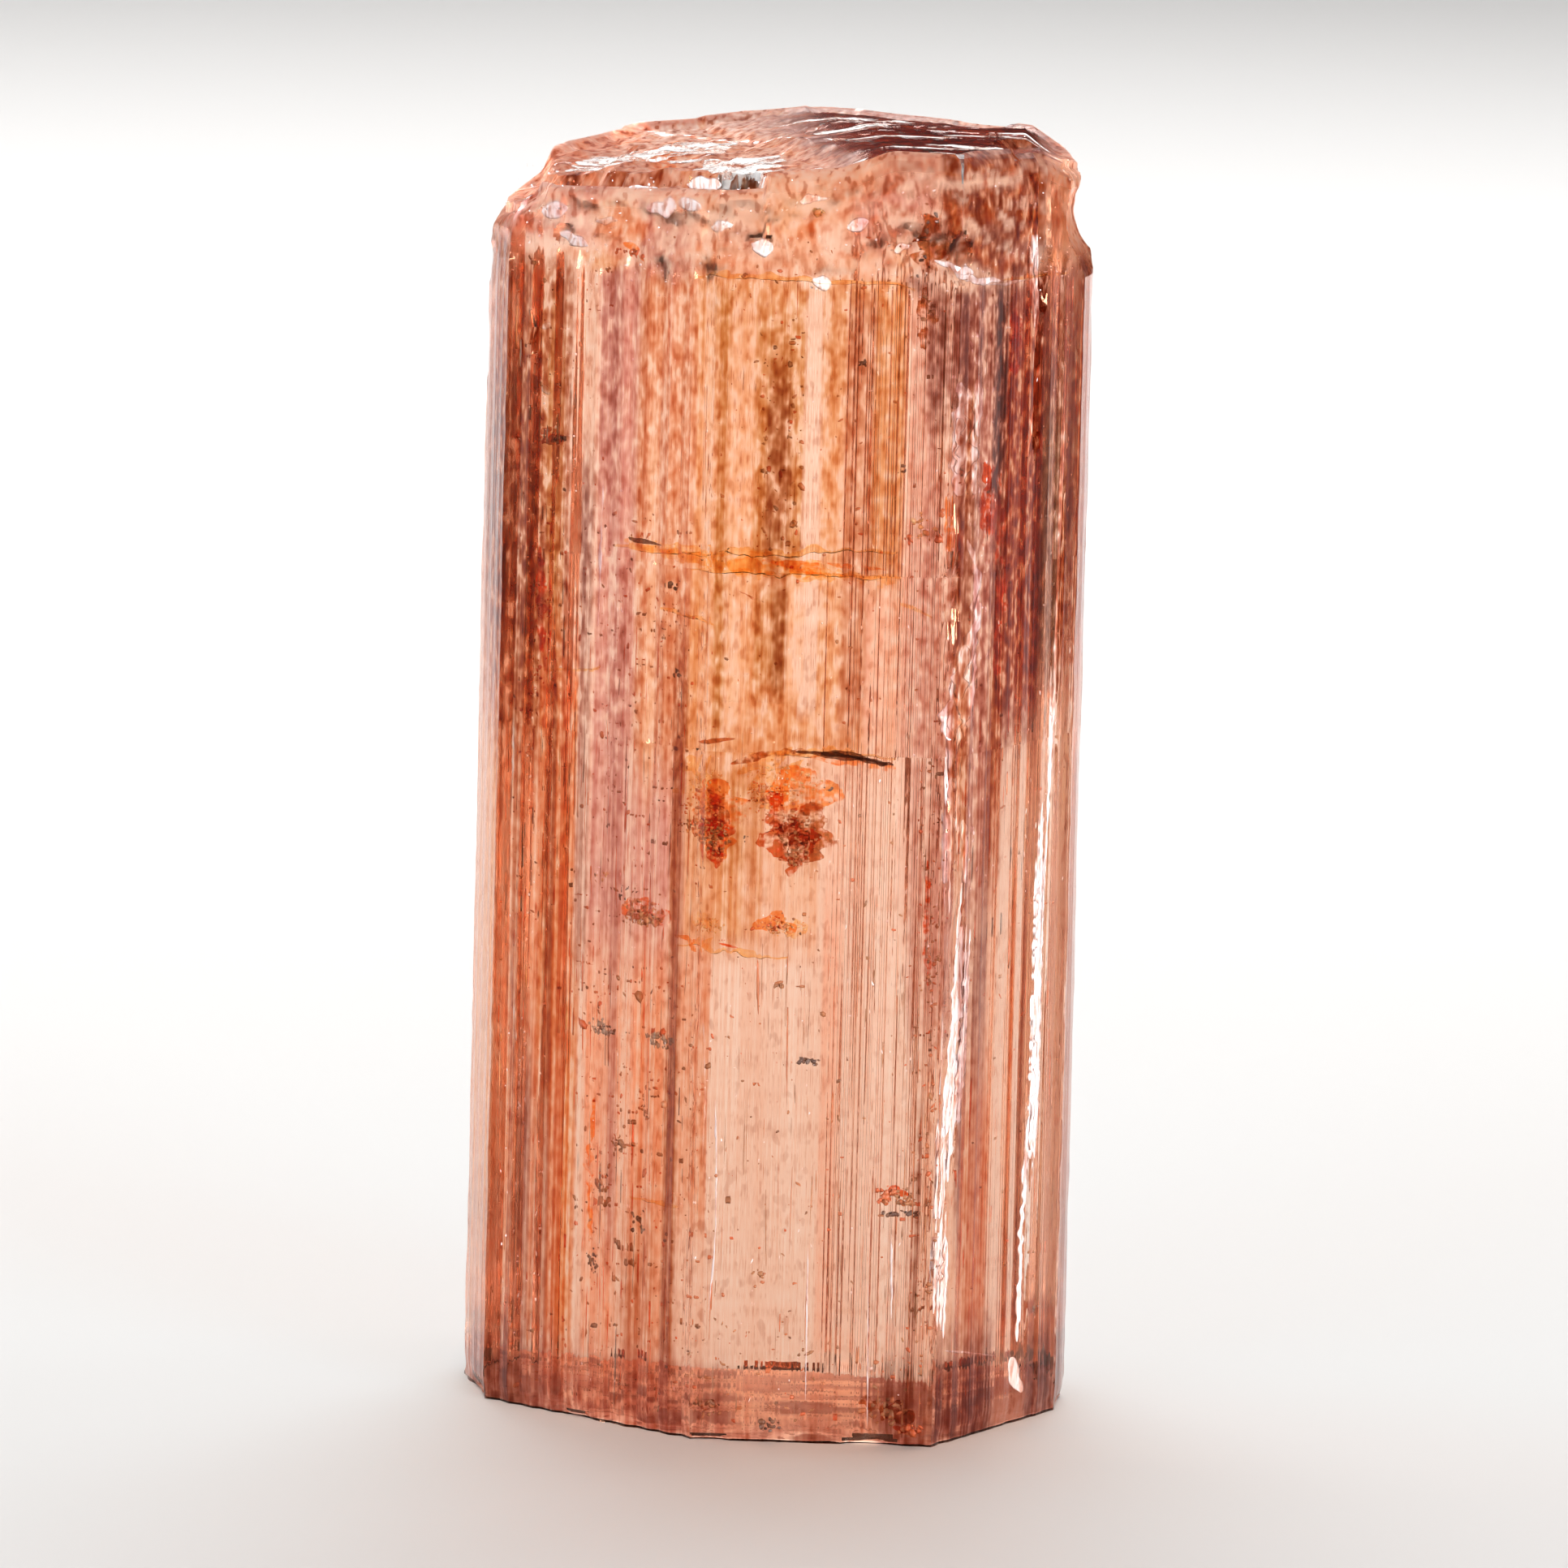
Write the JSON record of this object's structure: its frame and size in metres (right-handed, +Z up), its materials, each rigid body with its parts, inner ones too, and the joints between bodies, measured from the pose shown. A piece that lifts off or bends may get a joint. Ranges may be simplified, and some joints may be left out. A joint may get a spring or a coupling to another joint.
{
  "type": "topaz crystal",
  "caption": "Loose prismatic topaz crystal, see-through peach pink, with striated faces, a broken stepped top and a flat cleaved base to stand on.",
  "frame": {"origin": "middle of the flat cleaved base, on the surface that the crystal stands on", "axes": "+Z up along the crystal's long axis; -Y faces the viewer of the picture, +X is the viewer's right"},
  "size_m": [0.0172, 0.0138, 0.036],
  "materials": {
    "topaz": "clear peach pink topaz, striated prism faces, rough broken top",
    "iron_stain": "matte red-brown iron stain and specks inside the crystal",
    "veil": "pale glinting cleavage cracks and veils inside the crystal"
  },
  "bodies": {
    "root": {"topaz_crystal": "topaz"}
  },
  "joints": []
}
